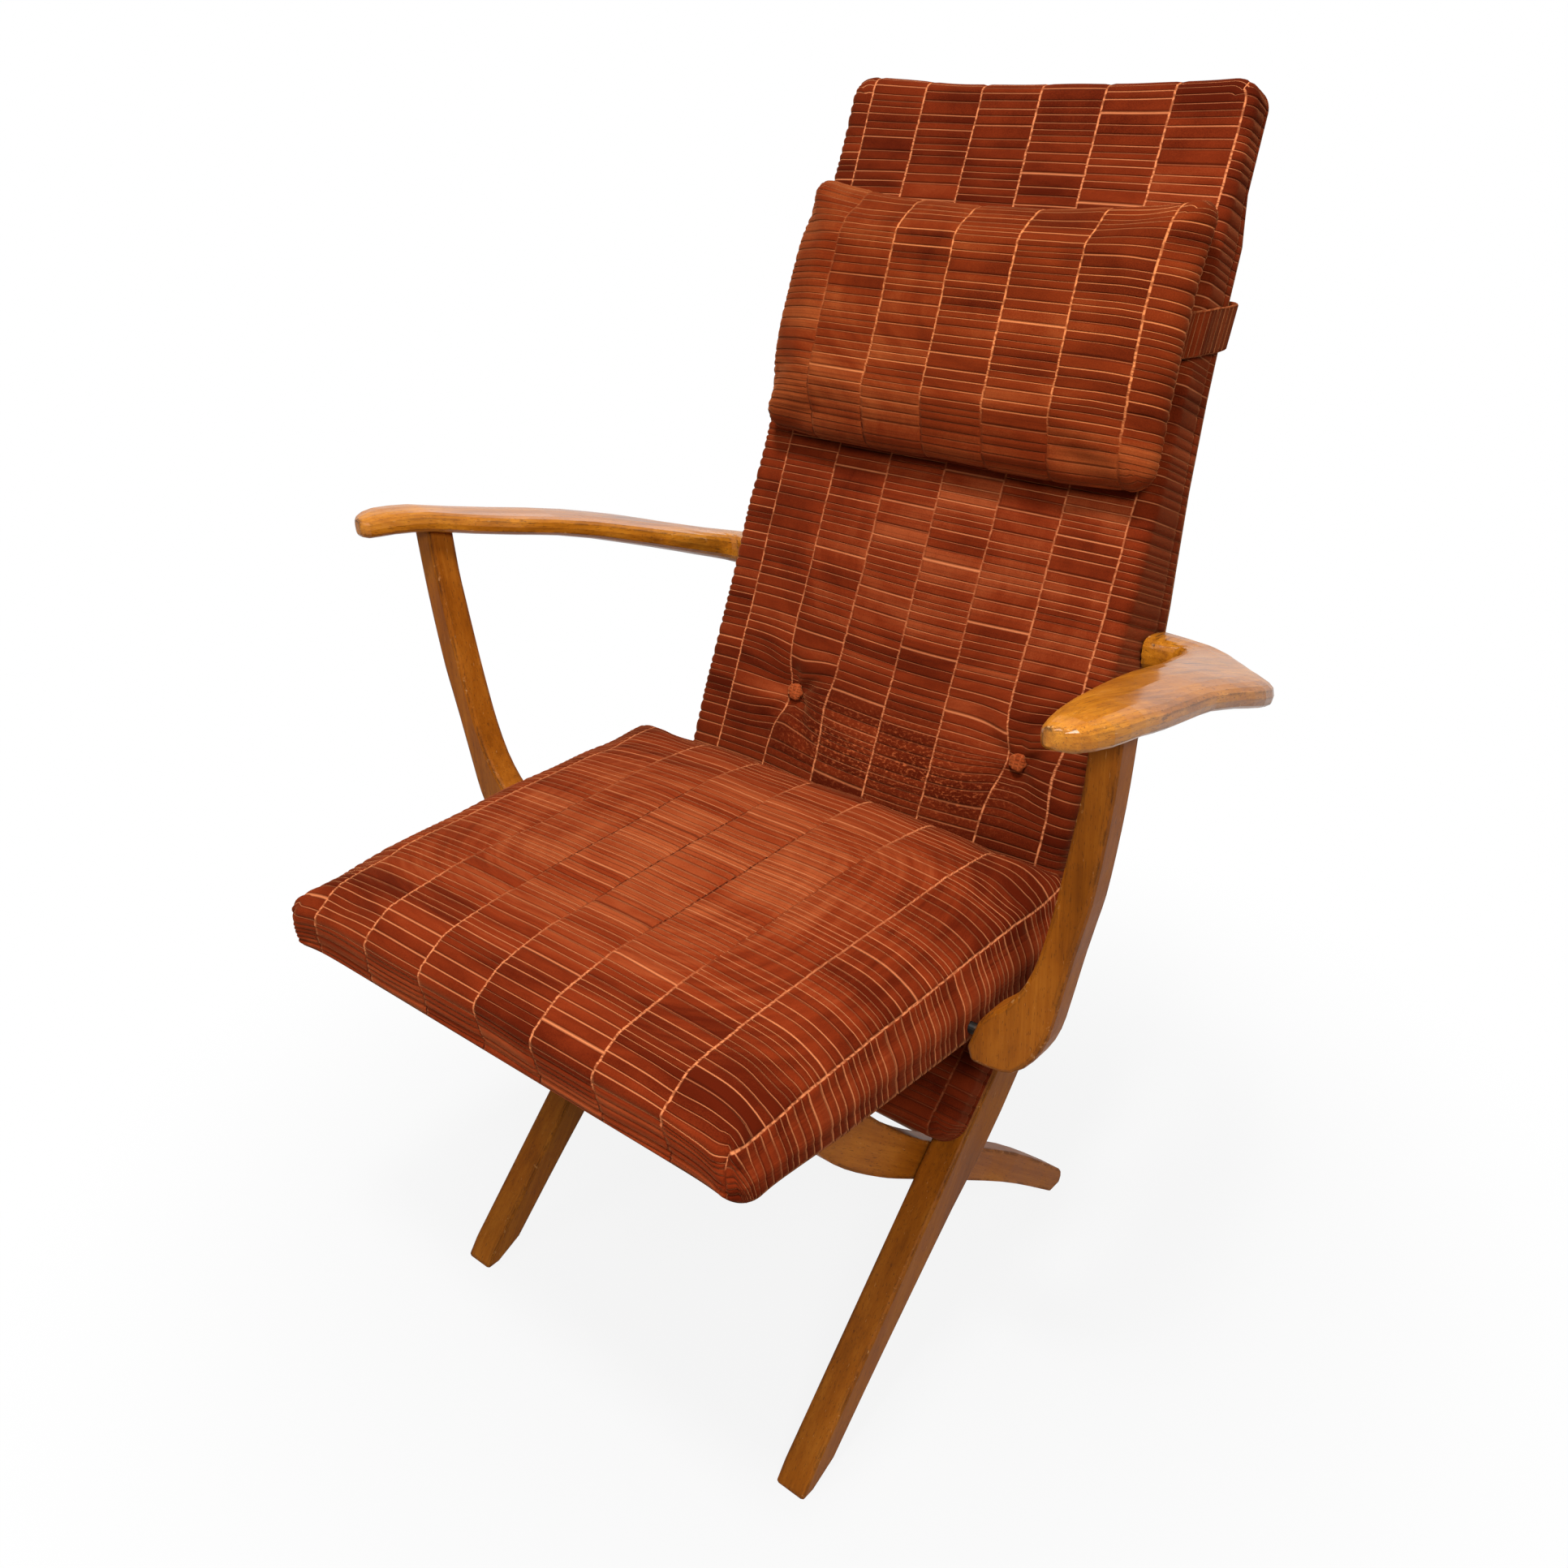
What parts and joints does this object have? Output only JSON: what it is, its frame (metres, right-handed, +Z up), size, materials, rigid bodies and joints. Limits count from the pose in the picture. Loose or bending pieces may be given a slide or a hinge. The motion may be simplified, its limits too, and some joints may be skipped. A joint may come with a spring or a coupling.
{
  "type": "armchair",
  "caption": "High-back folding lounge armchair with crossed curved wooden legs, swing-up paddle arms, ribbed velvet seat and back cushions and a strapped head pillow.",
  "frame": {"origin": "bottom centre of the open chair's bounding box, on the floor", "axes": "+Z up, the sitter faces -Y, +X is the sitter's left"},
  "size_m": [0.797, 0.7656, 1.0786],
  "materials": {
    "beech": "varnished honey beech, satin, worn at the edges",
    "ribbed_velvet": "rust-brown ribbed velvet with paler seams",
    "velvet_strap": "rust-brown velvet band",
    "zinc_steel": "zinc-plated",
    "dark_steel": "blackened",
    "rubber_webbing": "matt brown elastic webbing"
  },
  "bodies": {
    "back_frame": {"side_rail_left": "beech", "side_rail_right": "beech", "back_lower_rail": "beech", "back_middle_rail": "beech", "back_top_rail": "beech", "back_web_1": "rubber_webbing", "back_web_2": "rubber_webbing", "back_web_3": "rubber_webbing", "back_web_4": "rubber_webbing", "back_web_5": "rubber_webbing", "back_web_6": "rubber_webbing", "back_pad": "ribbed_velvet", "back_button_left": "ribbed_velvet", "back_button_right": "ribbed_velvet", "cross_bolt_left": "zinc_steel", "cross_bolt_right": "zinc_steel", "cross_washer_left": "zinc_steel", "cross_washer_right": "zinc_steel", "arm_bolt_left": "zinc_steel", "arm_bolt_right": "zinc_steel", "arm_bush_left": "dark_steel", "arm_bush_right": "dark_steel"},
    "rear_legs": {"rear_leg_left": "beech", "rear_leg_right": "beech", "rear_leg_upper_stretcher": "beech", "rear_leg_lower_stretcher": "beech"},
    "seat": {"seat_side_rail_left": "beech", "seat_side_rail_right": "beech", "seat_front_rail": "beech", "seat_rear_rail": "beech", "seat_axle": "zinc_steel", "seat_stud_left": "dark_steel", "seat_stud_right": "dark_steel", "seat_web_1": "rubber_webbing", "seat_web_2": "rubber_webbing", "seat_web_3": "rubber_webbing", "seat_web_4": "rubber_webbing", "seat_web_5": "rubber_webbing", "seat_pad": "ribbed_velvet"},
    "arm_left": {"armrest_left": "beech", "arm_post_left": "beech"},
    "arm_right": {"armrest_right": "beech", "arm_post_right": "beech"},
    "head_pillow": {"head_pillow": "ribbed_velvet", "pillow_strap": "velvet_strap"}
  },
  "joints": [
    {"name": "fold", "type": "hinge", "parent": "back_frame", "child": "rear_legs", "pos_m": [0, -0.06811, 0.20551], "axis": [1, 0, 0], "range_deg": [0, 84]},
    {"name": "seat_tilt", "type": "hinge", "parent": "rear_legs", "child": "seat", "pos_m": [0, -0.27182, 0.4255], "axis": [1, 0, 0], "range_deg": [-22.1, 0]},
    {"name": "arm_left_lift", "type": "hinge", "parent": "back_frame", "child": "arm_left", "pos_m": [0.24, 0.22522, 0.61659], "axis": [1, 0, 0], "range_deg": [-90, 0]},
    {"name": "arm_right_lift", "type": "hinge", "parent": "back_frame", "child": "arm_right", "pos_m": [-0.24, 0.22522, 0.61659], "axis": [1, 0, 0], "range_deg": [-90, 0]},
    {"name": "pillow_slide", "type": "slide", "parent": "back_frame", "child": "head_pillow", "axis": [0, 0.4131, 0.9107], "range_m": [-0.04, 0.04]}
  ],
  "couplings": [
    {"joint": "seat_tilt", "follows": "fold", "ratio": -0.262},
    {"joint": "arm_left_lift", "follows": "fold", "ratio": -1.07},
    {"joint": "arm_right_lift", "follows": "fold", "ratio": -1.07}
  ]
}
